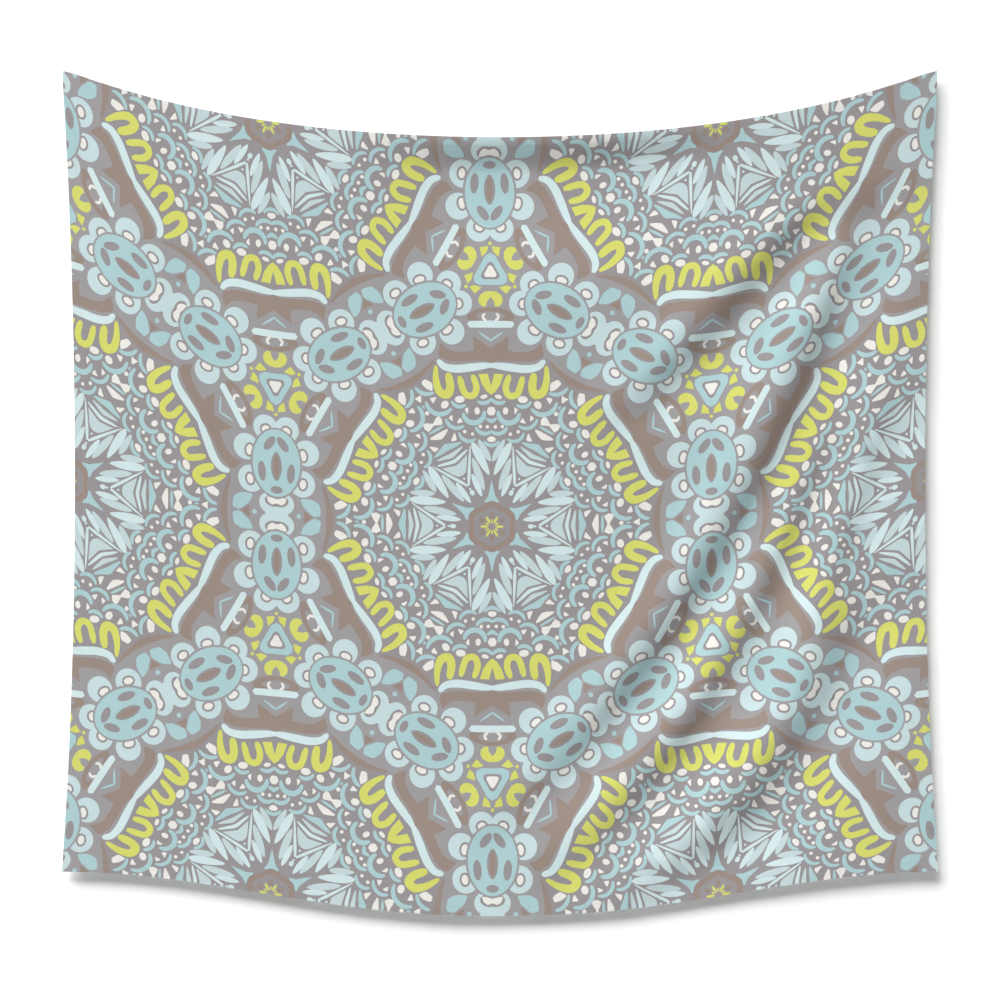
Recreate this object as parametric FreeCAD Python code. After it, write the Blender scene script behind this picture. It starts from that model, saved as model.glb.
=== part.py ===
import FreeCAD, Part
import math
import os
from collections import namedtuple

from FreeCAD import Vector

# A printed wall cloth, hemmed on all four sides, that hangs by two corner loops from two push pins.
# Millimetres. +Z is up and the printed face looks along -Y. The wall is the plane y = 0, and the
# origin lies on it, midway between the pins, at the height of their shafts.

# ---- Driving dimensions -----------------------------------------------------------------------

# The cloth as it hangs
HALF_SPAN = 740.0        # centre line to a corner tip
TIP_RISE = 15.0          # corner tips above the pin shafts
TOP_SAG = 115.0          # middle of the top edge below the corner tips
CENTRE_DROP = 1316.0     # top edge to bottom edge on the centre line
BOTTOM_RISE = 75.0       # bottom corners above the middle of the bottom edge
SIDE_BOW = 22.0          # how far each side curves in at half height
TOP_SQUARE = 0.78        # share of the top sag that goes with the square of the distance
BOTTOM_POWER = 1.1       # above 1, the bottom edge stays low for longer before it rises
BOW_POWER = 5            # how closely the sides' curve keeps to the sides
CLOTH_GAP = 16.0         # wall to the middle of the cloth's thickness
PANEL_THICKNESS = 1.2

# Hems and thread
HEM_WIDTH = 18.0
HEM_THICKNESS = 1.0
HEM_END_GAP = 0.3        # between a side hem and the hem it runs up to
STITCH_INSET = 16.0      # cloth edge to the row of stitches
STITCH_WIDTH = 1.2
STITCH_PROUD = 0.3       # thread standing out of the cloth, front and back

# Push pins
PIN_INSET = 12.0         # corner tip to pin, across
NEEDLE_RADIUS = 0.55
NEEDLE_OUT = 8.5         # straight part of the needle beyond the wall's face
NEEDLE_TIP = 2.5
SHANK_RADIUS = 0.8       # thicker end of the needle, moulded into the head
SHANK_LENGTH = 6.5
HEAD_LENGTH = 12.0
COLLAR_RADIUS = 3.9
COLLAR_THICKNESS = 1.2
WAIST_RADIUS = 2.75
GRIP_RADIUS = 4.25
GRIP_THICKNESS = 1.8
FLARE_LENGTH = 1.2       # waist to collar, and waist to grip
FLARE_HOLLOW = 0.3       # how far in from its corner the middle of a flare lies, as a share
GRIP_EDGE = 0.7          # rounding of the grip's front edge

# Corner loops
CORD_RADIUS = 1.0
LOOP_Y = -7.0            # the loop hangs at the middle of the pin's waist
LOOP_BEND_RADIUS = 6.4   # centre line of the half circle over the pin
LOOP_CLEARANCE = 0.3     # cord to waist
LEG_STRAIGHT = 2.0       # where the legs start to turn towards the cloth
LEG_FOOT_Z = -15.0       # where the legs reach the cloth
LEG_END_Z = -24.0
LEG_SPACING = 2.6        # between the legs' centre lines where they are sewn down
LEG_BEND_RADIUS = 4.0
TACK_SIZE = Vector(7.0, 2.6, 3.0)
TACK_ROUNDING = 0.8
TACK_Z = -19.5

# Care label
LABEL_LENGTH = 40.0
LABEL_HEIGHT = 22.0
LABEL_THICKNESS = 0.5
LABEL_TAIL = 9.0         # part sewn down on the hem
LABEL_GAP = 0.8          # hem's inner edge to the flap, and to the tail
LABEL_Z = -1180.0

# The cloth's surfaces are cubic B-splines whose poles lie on the cloth, this far apart
POLE_STEP = 15.0
DEGREE = 3
NORMAL_STEP = 1e-3

# Soft valleys that fan out from the right-hand corner and swing down to the left. Each starts at
# x, z, falls by drop, moves left by reach + curl, and has its steep flank on its left.
Fold = namedtuple("Fold", "x z drop reach curl depth flank width")
FOLD_RISE = 0.3          # share of a fold's fall in which it grows to its full depth
FOLD_END = 1.1           # where it has died out, and the share before that in which it does
FOLD_FADE = 0.4
FOLDS = (
    Fold(x=650.0, z=-80.0, drop=430.0, reach=365.0, curl=0.0, depth=9.0, flank=22.0, width=75.0),
    Fold(x=684.0, z=-54.0, drop=1100.0, reach=330.0, curl=270.0, depth=12.0, flank=20.0, width=70.0),
    Fold(x=590.0, z=-520.0, drop=750.0, reach=226.0, curl=282.0, depth=9.0, flank=22.0, width=75.0),
    Fold(x=642.0, z=-790.0, drop=550.0, reach=165.0, curl=240.0, depth=8.0, flank=30.0, width=90.0),
)

PIN_X = HALF_SPAN - PIN_INSET
PANEL_BACK = PANEL_THICKNESS / 2
HEM_BACK = PANEL_BACK + HEM_THICKNESS
HEM_BACK_Y = HEM_BACK - CLOTH_GAP
SIDES = (("left", -1), ("right", 1))


# ---- Shape of the hanging cloth ---------------------------------------------------------------

def smooth_step(value):
    value = min(max(value, 0.0), 1.0)
    return value * value * (3 - 2 * value)


def top_edge(across):
    """Height of the top edge. across runs from -1 at the left side to 1 at the right."""
    rise = TOP_SQUARE * across ** 2 + (1 - TOP_SQUARE) * across ** 4
    return TIP_RISE - TOP_SAG * (1 - rise)


def bottom_edge(across):
    middle = TIP_RISE - TOP_SAG - CENTRE_DROP
    return middle + BOTTOM_RISE * (1 - math.cos(math.pi * abs(across) ** BOTTOM_POWER)) / 2


def fold_depth(fold, x, z):
    """How far one fold takes the cloth back towards the wall at x, z."""
    along = (fold.z - z) / fold.drop
    lean = (fold.reach + 3 * fold.curl * along ** 2) / fold.drop
    line_x = fold.x - fold.reach * along - fold.curl * along ** 3
    offset = (x - line_x) / math.hypot(1.0, lean)
    fade = smooth_step(along / FOLD_RISE) * smooth_step((FOLD_END - along) / FOLD_FADE)
    steep_side = math.tanh(offset / fold.flank)
    gentle_side = math.tanh((offset - fold.width) / (2 * fold.flank))
    return fold.depth * fade * (steep_side - gentle_side) / 2


def cloth_point(across, down):
    """A point in the middle of the cloth. down runs from 0 at the top edge to 1 at the bottom."""
    z = top_edge(across) + (bottom_edge(across) - top_edge(across)) * down
    x = HALF_SPAN * across - SIDE_BOW * 4 * down * (1 - down) * across ** BOW_POWER
    y = -CLOTH_GAP + sum(fold_depth(fold, x, z) for fold in FOLDS)
    return Vector(x, y, z)


def cloth_normal(across, down):
    """Unit normal of the cloth, pointing back towards the wall."""
    along_x = cloth_point(across + NORMAL_STEP, down) - cloth_point(across - NORMAL_STEP, down)
    along_z = cloth_point(across, down - NORMAL_STEP) - cloth_point(across, down + NORMAL_STEP)
    return along_z.cross(along_x).normalize()


def across_share(distance):
    return distance / HALF_SPAN


def down_share(distance):
    return distance / CENTRE_DROP


# ---- Solids that follow the cloth ---------------------------------------------------------------

def spline_layout(limits, scale):
    """Evenly spaced knots between two limits, their multiplicities, and where the poles go.

    Each pole stands at the mean of the three knots that it governs, so a flat cloth comes out
    evenly stretched.
    """
    low, high = limits
    spans = max(1, round((high - low) * scale / POLE_STEP))
    knots = [low + (high - low) * index / spans for index in range(spans + 1)]
    multiplicities = [DEGREE + 1] + [1] * (spans - 1) + [DEGREE + 1]
    full = [low] * DEGREE + knots + [high] * DEGREE
    places = [sum(full[index + 1:index + 1 + DEGREE]) / DEGREE for index in range(spans + DEGREE)]
    return knots, multiplicities, places


def offset_sheet(across_limits, down_limits, offset):
    """Smooth surface at a set distance behind the middle of the cloth."""
    column_knots, column_mults, columns = spline_layout(across_limits, HALF_SPAN)
    row_knots, row_mults, rows = spline_layout(down_limits, CENTRE_DROP)
    poles = [
        [cloth_point(column, row) + cloth_normal(column, row) * offset for row in rows]
        for column in columns
    ]
    sheet = Part.BSplineSurface()
    sheet.buildFromPolesMultsKnots(
        poles, column_mults, row_mults, column_knots, row_knots, False, False, DEGREE, DEGREE
    )
    return sheet


def sheet_rims(sheet):
    """The four edge curves of a surface."""
    low_u, high_u, low_v, high_v = sheet.bounds()
    return [sheet.uIso(low_u), sheet.uIso(high_u), sheet.vIso(low_v), sheet.vIso(high_v)]


def cloth_strip(across_limits, down_limits, front, back):
    """Closed solid between two offsets from the middle of the cloth."""
    sheets = [offset_sheet(across_limits, down_limits, offset) for offset in (front, back)]
    faces = [sheet.toShape() for sheet in sheets]
    for front_rim, back_rim in zip(*(sheet_rims(sheet) for sheet in sheets)):
        faces.append(Part.makeRuledSurface(front_rim.toShape(), back_rim.toShape()))
    shell = Part.makeShell(faces)
    shell.sewShape()
    solid = Part.Solid(shell)
    if solid.Volume < 0:
        solid.reverse()
    return solid


def printed_panel():
    return cloth_strip((-1, 1), (0, 1), -PANEL_BACK, PANEL_BACK)


def edge_bands(inset, width):
    """Limits of a band along each edge of the cloth, by edge name."""
    side_in = across_share(inset)
    side_out = across_share(inset - width)
    level_in = down_share(inset)
    level_out = down_share(inset - width)
    end = down_share(HEM_WIDTH + HEM_END_GAP)
    return {
        "top": ((-1, 1), (level_out, level_in)),
        "bottom": ((-1, 1), (1 - level_in, 1 - level_out)),
        "left": ((side_out - 1, side_in - 1), (end, 1 - end)),
        "right": ((1 - side_in, 1 - side_out), (end, 1 - end)),
    }


def hems():
    """The turned edges. The top and bottom hems run the full width, over the ends of the others."""
    bands = edge_bands(HEM_WIDTH, HEM_WIDTH)
    return {
        f"hem_{edge}": cloth_strip(*band, PANEL_BACK, HEM_BACK)
        for edge, band in bands.items()
    }


def stitch_rows():
    """One row of thread through the cloth and its hem along each edge."""
    bands = edge_bands(STITCH_INSET, STITCH_WIDTH)
    return {
        f"stitch_{edge}": cloth_strip(*band, -PANEL_BACK - STITCH_PROUD, HEM_BACK + STITCH_PROUD)
        for edge, band in bands.items()
    }


# ---- Push pins ----------------------------------------------------------------------------------

def turned(profile, x):
    """Solid of revolution about the pin's shaft, from a closed profile of edges in radius and y."""
    face = Part.Face(Part.Wire(profile))
    solid = face.revolve(Vector(0, 0, 0), Vector(0, 1, 0), 360)
    solid.translate(Vector(x, 0, 0))
    return solid


def line(start, end):
    return Part.LineSegment(Vector(*start, 0), Vector(*end, 0)).toShape()


def curve(start, middle, end):
    return Part.Arc(Vector(*start, 0), Vector(*middle, 0), Vector(*end, 0)).toShape()


def pin_head(x):
    """Clear plastic head: a collar on the wall, a waist for the loop and a grip in front."""
    waist_back = -COLLAR_THICKNESS - FLARE_LENGTH
    grip_back = GRIP_THICKNESS - HEAD_LENGTH
    waist_front = grip_back + FLARE_LENGTH
    collar_flare = (
        WAIST_RADIUS + FLARE_HOLLOW * (COLLAR_RADIUS - WAIST_RADIUS),
        -COLLAR_THICKNESS - FLARE_HOLLOW * FLARE_LENGTH,
    )
    grip_flare = (
        WAIST_RADIUS + FLARE_HOLLOW * (GRIP_RADIUS - WAIST_RADIUS),
        grip_back + FLARE_HOLLOW * FLARE_LENGTH,
    )
    edge_in = GRIP_EDGE * (1 - math.sqrt(0.5))
    profile = [
        line((SHANK_RADIUS, 0), (COLLAR_RADIUS, 0)),
        line((COLLAR_RADIUS, 0), (COLLAR_RADIUS, -COLLAR_THICKNESS)),
        curve((COLLAR_RADIUS, -COLLAR_THICKNESS), collar_flare, (WAIST_RADIUS, waist_back)),
        line((WAIST_RADIUS, waist_back), (WAIST_RADIUS, waist_front)),
        curve((WAIST_RADIUS, waist_front), grip_flare, (GRIP_RADIUS, grip_back)),
        line((GRIP_RADIUS, grip_back), (GRIP_RADIUS, GRIP_EDGE - HEAD_LENGTH)),
        curve(
            (GRIP_RADIUS, GRIP_EDGE - HEAD_LENGTH),
            (GRIP_RADIUS - edge_in, edge_in - HEAD_LENGTH),
            (GRIP_RADIUS - GRIP_EDGE, -HEAD_LENGTH),
        ),
        line((GRIP_RADIUS - GRIP_EDGE, -HEAD_LENGTH), (0, -HEAD_LENGTH)),
        line((0, -HEAD_LENGTH), (0, -SHANK_LENGTH)),
        line((0, -SHANK_LENGTH), (SHANK_RADIUS, -SHANK_LENGTH)),
        line((SHANK_RADIUS, -SHANK_LENGTH), (SHANK_RADIUS, 0)),
    ]
    return turned(profile, x)


def pin_needle(x):
    corners = [
        (0, -SHANK_LENGTH),
        (SHANK_RADIUS, -SHANK_LENGTH),
        (SHANK_RADIUS, 0),
        (NEEDLE_RADIUS, 0),
        (NEEDLE_RADIUS, NEEDLE_OUT),
        (0, NEEDLE_OUT + NEEDLE_TIP),
    ]
    profile = [line(start, end) for start, end in zip(corners, corners[1:] + corners[:1])]
    return turned(profile, x)


# ---- Corner loops -------------------------------------------------------------------------------

def rounded_corner(before, corner, after, radius):
    """Tangent points and middle point of the arc that rounds one corner of a route."""
    to_before = (before - corner).normalize()
    to_after = (after - corner).normalize()
    half_angle = to_before.getAngle(to_after) / 2
    reach = radius / math.tan(half_angle)
    bisector = (to_before + to_after).normalize()
    middle = corner + bisector * (radius / math.sin(half_angle) - radius)
    return corner + to_before * reach, middle, corner + to_after * reach


def corner_loop(x):
    """A cord over the pin's waist whose two legs are sewn side by side to the hem."""
    top = WAIST_RADIUS + LOOP_CLEARANCE + CORD_RADIUS
    centre_z = top - LOOP_BEND_RADIUS
    foot_y = HEM_BACK_Y + CORD_RADIUS

    def leg(side):
        shoulder = Vector(side * LOOP_BEND_RADIUS, LOOP_Y, centre_z)
        elbow = shoulder - Vector(0, 0, LEG_STRAIGHT)
        foot = Vector(side * LEG_SPACING / 2, foot_y, LEG_FOOT_Z)
        end = Vector(side * LEG_SPACING / 2, foot_y, LEG_END_Z)
        elbow_in, elbow_mid, elbow_out = rounded_corner(shoulder, elbow, foot, LEG_BEND_RADIUS)
        foot_in, foot_mid, foot_out = rounded_corner(elbow, foot, end, LEG_BEND_RADIUS)
        return [
            Part.LineSegment(shoulder, elbow_in),
            Part.Arc(elbow_in, elbow_mid, elbow_out),
            Part.LineSegment(elbow_out, foot_in),
            Part.Arc(foot_in, foot_mid, foot_out),
            Part.LineSegment(foot_out, end),
        ]

    crown = Part.Arc(
        Vector(-LOOP_BEND_RADIUS, LOOP_Y, centre_z),
        Vector(0, LOOP_Y, top),
        Vector(LOOP_BEND_RADIUS, LOOP_Y, centre_z),
    )
    route = Part.Wire(Part.sortEdges([piece.toShape() for piece in leg(-1) + [crown] + leg(1)])[0])
    start = Vector(-LEG_SPACING / 2, foot_y, LEG_END_Z)
    section = Part.Wire(Part.makeCircle(CORD_RADIUS, start, Vector(0, 0, 1)))
    loop = route.makePipeShell([section], True, False)
    loop.translate(Vector(x, 0, 0))
    return loop


def bar_tack(x):
    """Block of close stitches that holds both legs of a loop to the hem."""
    corner = Vector(x - TACK_SIZE.x / 2, HEM_BACK_Y, TACK_Z - TACK_SIZE.z / 2)
    block = Part.makeBox(TACK_SIZE.x, TACK_SIZE.y, TACK_SIZE.z, corner)
    free_edges = [edge for edge in block.Edges if edge.CenterOfMass.y > HEM_BACK_Y + TACK_SIZE.y / 4]
    return block.makeFillet(TACK_ROUNDING, free_edges)


# ---- Care label -----------------------------------------------------------------------------------

def label_pieces():
    """Blank ribbon label: a tail sewn on the left hem and a flap that turns about the hem's edge."""
    hem_edge_x = cloth_point(-1 + across_share(HEM_WIDTH), (top_edge(-1) - LABEL_Z) / CENTRE_DROP).x
    low_z = LABEL_Z - LABEL_HEIGHT / 2
    tail = Part.makeBox(
        LABEL_TAIL, LABEL_THICKNESS, LABEL_HEIGHT,
        Vector(hem_edge_x - LABEL_GAP - LABEL_TAIL, HEM_BACK_Y, low_z),
    )
    flap = Part.makeBox(
        LABEL_LENGTH, LABEL_THICKNESS, LABEL_HEIGHT,
        Vector(hem_edge_x + LABEL_GAP, HEM_BACK_Y, low_z),
    )
    return {"label_tail": tail, "care_label": flap}


# ---- Export ----------------------------------------------------------------------------------------

def build():
    nodes = {"printed_panel": printed_panel()}
    nodes.update(hems())
    nodes.update(stitch_rows())
    nodes.update(label_pieces())
    for side, sign in SIDES:
        nodes[f"cord_loop_{side}"] = corner_loop(sign * PIN_X)
        nodes[f"bar_tack_{side}"] = bar_tack(sign * PIN_X)
        nodes[f"pin_head_{side}"] = pin_head(sign * PIN_X)
        nodes[f"pin_needle_{side}"] = pin_needle(sign * PIN_X)
    return nodes


os.makedirs("parts", exist_ok=True)
for name, shape in build().items():
    shape.exportStep(f"parts/{name}.step")
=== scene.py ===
import math

import bmesh
import bpy
import numpy as np
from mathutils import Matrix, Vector, geometry


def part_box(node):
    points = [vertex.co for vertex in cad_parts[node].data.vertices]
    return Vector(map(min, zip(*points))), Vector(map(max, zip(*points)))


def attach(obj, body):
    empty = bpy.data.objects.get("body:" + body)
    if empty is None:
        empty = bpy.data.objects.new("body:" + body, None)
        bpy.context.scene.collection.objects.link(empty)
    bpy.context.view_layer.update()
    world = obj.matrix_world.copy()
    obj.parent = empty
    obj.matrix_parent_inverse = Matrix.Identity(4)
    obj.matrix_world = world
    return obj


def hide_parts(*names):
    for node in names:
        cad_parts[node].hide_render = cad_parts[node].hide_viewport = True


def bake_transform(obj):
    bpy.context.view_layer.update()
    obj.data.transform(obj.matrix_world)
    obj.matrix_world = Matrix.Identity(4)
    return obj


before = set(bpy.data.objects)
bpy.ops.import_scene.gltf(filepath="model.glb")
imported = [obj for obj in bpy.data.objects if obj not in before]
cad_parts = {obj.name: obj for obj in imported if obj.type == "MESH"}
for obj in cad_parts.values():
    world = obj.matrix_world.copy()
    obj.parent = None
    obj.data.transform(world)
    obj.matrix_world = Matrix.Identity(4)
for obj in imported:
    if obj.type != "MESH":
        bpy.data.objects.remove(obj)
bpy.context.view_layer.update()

# The looks of a printed wall cloth that hangs by its two top corners. Metres, in the frame of the
# CAD model: the wall is y = 0 and the printed face looks along -Y.

# ---- Sizes ----

PANEL_LOW, PANEL_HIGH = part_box("printed_panel")
CAD_THICKNESS = 0.0012
HALF_SPAN = PANEL_HIGH[0]
TIP_Z = PANEL_HIGH[2]
CLOTH_Y = PANEL_LOW[1] + CAD_THICKNESS / 2
TOP_SAG = 0.115
CENTRE_DROP = TIP_Z - TOP_SAG - PANEL_LOW[2]
BOTTOM_RISE = 0.075
SIDE_BOW = 0.022         # how far each side curves in at half height
MIDDLE_SLACK = 0.025     # how much less the cloth rises towards its sides in its lower half
CORNER_DROOP = 0.0025    # how far a corner's tip gives way above its loop
CORNER_REACH = 0.016
DROOP_INWARD = 0.55      # the tip's inward share of that
TOP_SQUARE = 0.78        # how much of the top edge's sag is a plain parabola
BOTTOM_POWER = 1.1
SLOW_RIPPLE = 0.0012
QUICK_RIPPLE = 0.00022

CLOTH_THICKNESS = CAD_THICKNESS
HEM_WIDTH = 0.018
HEM_THICKNESS = 0.0007
HEM_ROLL = 0.0008        # width of the hem's rolled edges
STITCH_INSET = 0.0154
STITCH_PITCH = 0.0034
STITCH_LENGTH = 0.0027
STITCH_RADIUS = 0.00026
STITCH_TAPER = np.array([0, 0.9, 1.0, 0.9, 0])   # its radius along the stitch, as a share

# The print repeats every two units of its lattice, and one unit is a hundred print steps
PRINT_UNIT = 0.375
PRINT_STEP = PRINT_UNIT / 100
PRINT_HALF_WIDTH = 0.733  # printed width from the cloth's middle to its side
PRINT_SHIFT = 0.0125      # how far the print's middle lies left of the cloth's
TOP_SHIFT = 0.006         # how much further left it lies at the top edge
PRINT_HALF_HEIGHT = 0.652
PRINT_SLACK = 0.03        # how much closer the print lies round the cloth's middle than near its edges
MESH_STEP = 3.4           # spacing of the points between outlines, in print steps
BACK_MESH_STEP = 3.9      # the same on the back
LONGEST_SIDE = 5.0        # longest side of an outline in the mesh, in print steps

PI = math.pi


# ---- How the cloth hangs ----

# Soft valleys that fan out from the right-hand corner, and a faint one from the left: start x and
# z, fall, leftward reach and curl, depth, width of the steep flank and of the whole valley. A low
# ridge comes forward beside each.
FOLDS = (
    (0.582, -0.160, 0.385, 0.327, 0.000, 0.0110, 0.023, 0.072),
    (0.652, -0.120, 1.034, 0.350, 0.185, 0.0135, 0.021, 0.066),
    (0.590, -0.480, 0.790, 0.247, 0.160, 0.0110, 0.019, 0.062),
    (0.628, -0.790, 0.550, 0.165, 0.150, 0.0115, 0.027, 0.085),
    (0.683, -0.480, 0.470, 0.145, 0.000, 0.0075, 0.020, 0.050),
    (-0.630, -0.100, 1.200, -0.300, -0.220, 0.0035, 0.022, 0.075),
)
FOLD_RISE = 0.3          # share of a fold's fall over which it deepens, and the one over which it ends
FOLD_FADE = 0.4
FOLD_END = 1.2
RIDGE_SHARE = 0.55       # height of the ridge as a share of the valley's depth
RIDGE_OFFSET = 0.033
RIDGE_WIDTH = 0.045
# Hollow just under the middle of the top edge: place and half length across, depth and reach
HOLLOW_X = 0.085
HOLLOW_HALF_LENGTH = 0.25
HOLLOW_DEPTH = 0.0125
HOLLOW_REACH = 0.060


def smooth_step(value):
    value = np.clip(value, 0.0, 1.0)
    return value * value * (3 - 2 * value)


def fold_depth(fold, x, z):
    start_x, start_z, drop, reach, curl, depth, flank, width = fold
    along = (start_z - z) / drop
    lean = (reach + 3 * curl * along ** 2) / drop
    offset = (x - start_x + reach * along + curl * along ** 3) / np.hypot(1.0, lean)
    fade = smooth_step(along / FOLD_RISE) * smooth_step((FOLD_END - along) / FOLD_FADE)
    valley = (np.tanh(offset / flank) - np.tanh((offset - width) / (2 * flank))) / 2
    ridge = np.exp(-((offset + RIDGE_OFFSET) / RIDGE_WIDTH) ** 2)
    return depth * fade * (valley - RIDGE_SHARE * ridge)


def hollow(x, below):
    """How far the cloth goes back a little below its top edge."""
    window = np.exp(-((x - HOLLOW_X) / HOLLOW_HALF_LENGTH) ** 4)
    going_in = smooth_step(below / HOLLOW_REACH)
    coming_out = smooth_step((below - HOLLOW_REACH) / (4 * HOLLOW_REACH))
    return HOLLOW_DEPTH * window * (going_in - coming_out)


def ripples(x, z):
    """Faint unevenness of thin cloth that has been folded and hung up again."""
    slow = SLOW_RIPPLE * np.sin(7.1 * x + 2.3 * z + 0.4) * np.sin(5.3 * z - 1.9 * x)
    quick = QUICK_RIPPLE * np.sin(61 * x + 17 * z) * np.sin(43 * z - 23 * x + 1.1)
    return slow + quick


def cloth_points(across, down):
    """Points in the middle of the cloth. across is -1 to 1, down is 0 at the top to 1."""
    size = np.abs(across)
    middle = across ** 2
    top = TOP_SQUARE * across ** 2 + (1 - TOP_SQUARE) * across ** 4
    bottom = (1 - np.cos(PI * np.minimum(size, 1.0) ** BOTTOM_POWER)) / 2
    shape = middle + (1 - down) ** 4 * (top - middle) + down ** 8 * (bottom - middle)
    rise = TOP_SAG * (1 - down) + BOTTOM_RISE * down - MIDDLE_SLACK * np.sin(PI * down ** 2)
    z = TIP_Z - TOP_SAG - CENTRE_DROP * down + rise * shape
    x = HALF_SPAN * across - SIDE_BOW * 4 * down * (1 - down) * across
    corner = np.hypot((size - 1) * HALF_SPAN, down * CENTRE_DROP)
    droop = CORNER_DROOP * np.exp(-(corner / CORNER_REACH) ** 2)
    x = x - np.sign(across) * droop * DROOP_INWARD
    z = z - droop
    y = CLOTH_Y + ripples(x, z) * smooth_step(down * 4) + hollow(x, down * CENTRE_DROP)
    y = y + sum(fold_depth(fold, x, z) for fold in FOLDS)
    return np.stack([x, y, z], axis=-1)


def unit(vectors):
    """The same directions, all of length one."""
    return vectors / np.linalg.norm(vectors, axis=-1, keepdims=True)


def cloth_normals(across, down):
    """Unit normals of the cloth, pointing back towards the wall."""
    step = 5e-4
    along_x = cloth_points(across + step, down) - cloth_points(across - step, down)
    along_z = cloth_points(across, down - step) - cloth_points(across, down + step)
    return unit(np.cross(along_z, along_x))


def on_cloth(across, down, offset):
    across = np.asarray(across, dtype=float)
    down = np.asarray(down, dtype=float)
    return cloth_points(across, down) + cloth_normals(across, down) * np.asarray(offset)[..., None]


# ---- Outlines of the print's motifs, in print steps ----

def turned(points, centre, degrees):
    angle = math.radians(degrees)
    cos, sin = math.cos(angle), math.sin(angle)
    return [(centre[0] + x * cos - y * sin, centre[1] + x * sin + y * cos) for x, y in points]


def oval(centre, half_length, half_width, tilt=0, count=14):
    angles = [2 * PI * index / count for index in range(count)]
    return turned([(half_length * math.cos(a), half_width * math.sin(a)) for a in angles], centre, tilt)


def leaf(start, end, width, lean=0.0):
    """Pointed oval from start to end. lean moves its widest place towards the end."""
    length = math.dist(start, end)
    tilt = math.degrees(math.atan2(end[1] - start[1], end[0] - start[0]))
    points = []
    for index in range(14):
        angle = 2 * PI * index / 14
        along = (1 - math.cos(angle)) / 2
        along += lean * math.sin(angle) ** 2 * 0.5
        points.append((along * length, -width / 2 * math.sin(angle) * abs(math.sin(angle)) ** 0.25))
    return turned(points, start, tilt)


def smooth_route(points, per_span=4):
    """Points of a Catmull-Rom curve through the given ones."""
    padded = [points[0]] + list(points) + [points[-1]]
    route = []
    for index in range(len(points) - 1):
        a, b, c, d = (np.array(p, dtype=float) for p in padded[index:index + 4])
        for part in range(per_span):
            t = part / per_span
            route.append(0.5 * (2 * b + (c - a) * t + (2 * a - 5 * b + 4 * c - d) * t ** 2
                                + (3 * b - a - 3 * c + d) * t ** 3))
    route.append(np.array(points[-1], dtype=float))
    return route


def band(points, widths, per_span=4):
    """Ribbon of changing width along a smooth route, with rounded ends."""
    route = smooth_route(points, per_span)
    stations = np.linspace(0, 1, len(widths))
    left, right = [], []
    for index, here in enumerate(route):
        before = route[max(index - 1, 0)]
        after = route[min(index + 1, len(route) - 1)]
        direction = (after - before) / np.linalg.norm(after - before)
        normal = np.array([-direction[1], direction[0]])
        half = np.interp(index / (len(route) - 1), stations, widths) / 2
        if index in (0, len(route) - 1):
            outward = -direction if index == 0 else direction
            here = here + outward * half * 0.6
            half *= 0.55
        left.append(here + normal * half)
        right.append(here - normal * half)
    return [tuple(point) for point in left + right[::-1]]


def arc(centre, radius, start, end, width, count=9):
    """Crescent round a centre, full in the middle and narrower at its ends."""
    outer, inner = [], []
    for index in range(count):
        share = index / (count - 1)
        angle = math.radians(start + (end - start) * share)
        half = width / 2 * (0.45 + 0.55 * math.sin(PI * share) ** 0.5)
        for ring, distance in ((outer, radius + half), (inner, radius - half)):
            ring.append((centre[0] + distance * math.cos(angle), centre[1] + distance * math.sin(angle)))
    return outer + inner[::-1]


def pebble(*corners):
    """Shape with the given corners, each one cut back so that it reads as rounded."""
    points = []
    count = len(corners)
    for index, corner in enumerate(corners):
        before, after = corners[index - 1], corners[(index + 1) % count]
        for near, share in ((before, 0.28), (before, 0.1), (after, 0.1), (after, 0.28)):
            bulge = 0.0 if share > 0.2 else 0.06
            points.append(tuple(
                c + (n - c) * (share + bulge) for c, n in zip(corner, near)
            ))
    return points


def rounded_triangle(centre, reach):
    """Triangle with bulging sides and soft corners, one of them pointing down."""
    points = []
    for corner in (270, 30, 150):
        for turn, share in ((-42, 0.66), (-18, 0.86), (0, 0.97), (18, 0.86), (42, 0.66)):
            angle = math.radians(corner + turn)
            distance = reach * share
            points.append((centre[0] + distance * math.cos(angle), centre[1] + distance * math.sin(angle)))
    return points


def both_sides(half):
    """Points of half a symmetric route, and then the same ones on the other side of y = 0."""
    return half + [(x, -y) for x, y in half[::-1] if y != 0]


def mirrored(outline):
    """The same outline on the other side of the line through a flower's centre and a triangle's."""
    cos, sin = 0.5, math.sqrt(0.75)
    return [(x * cos + y * sin, x * sin - y * cos) for x, y in outline]


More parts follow.
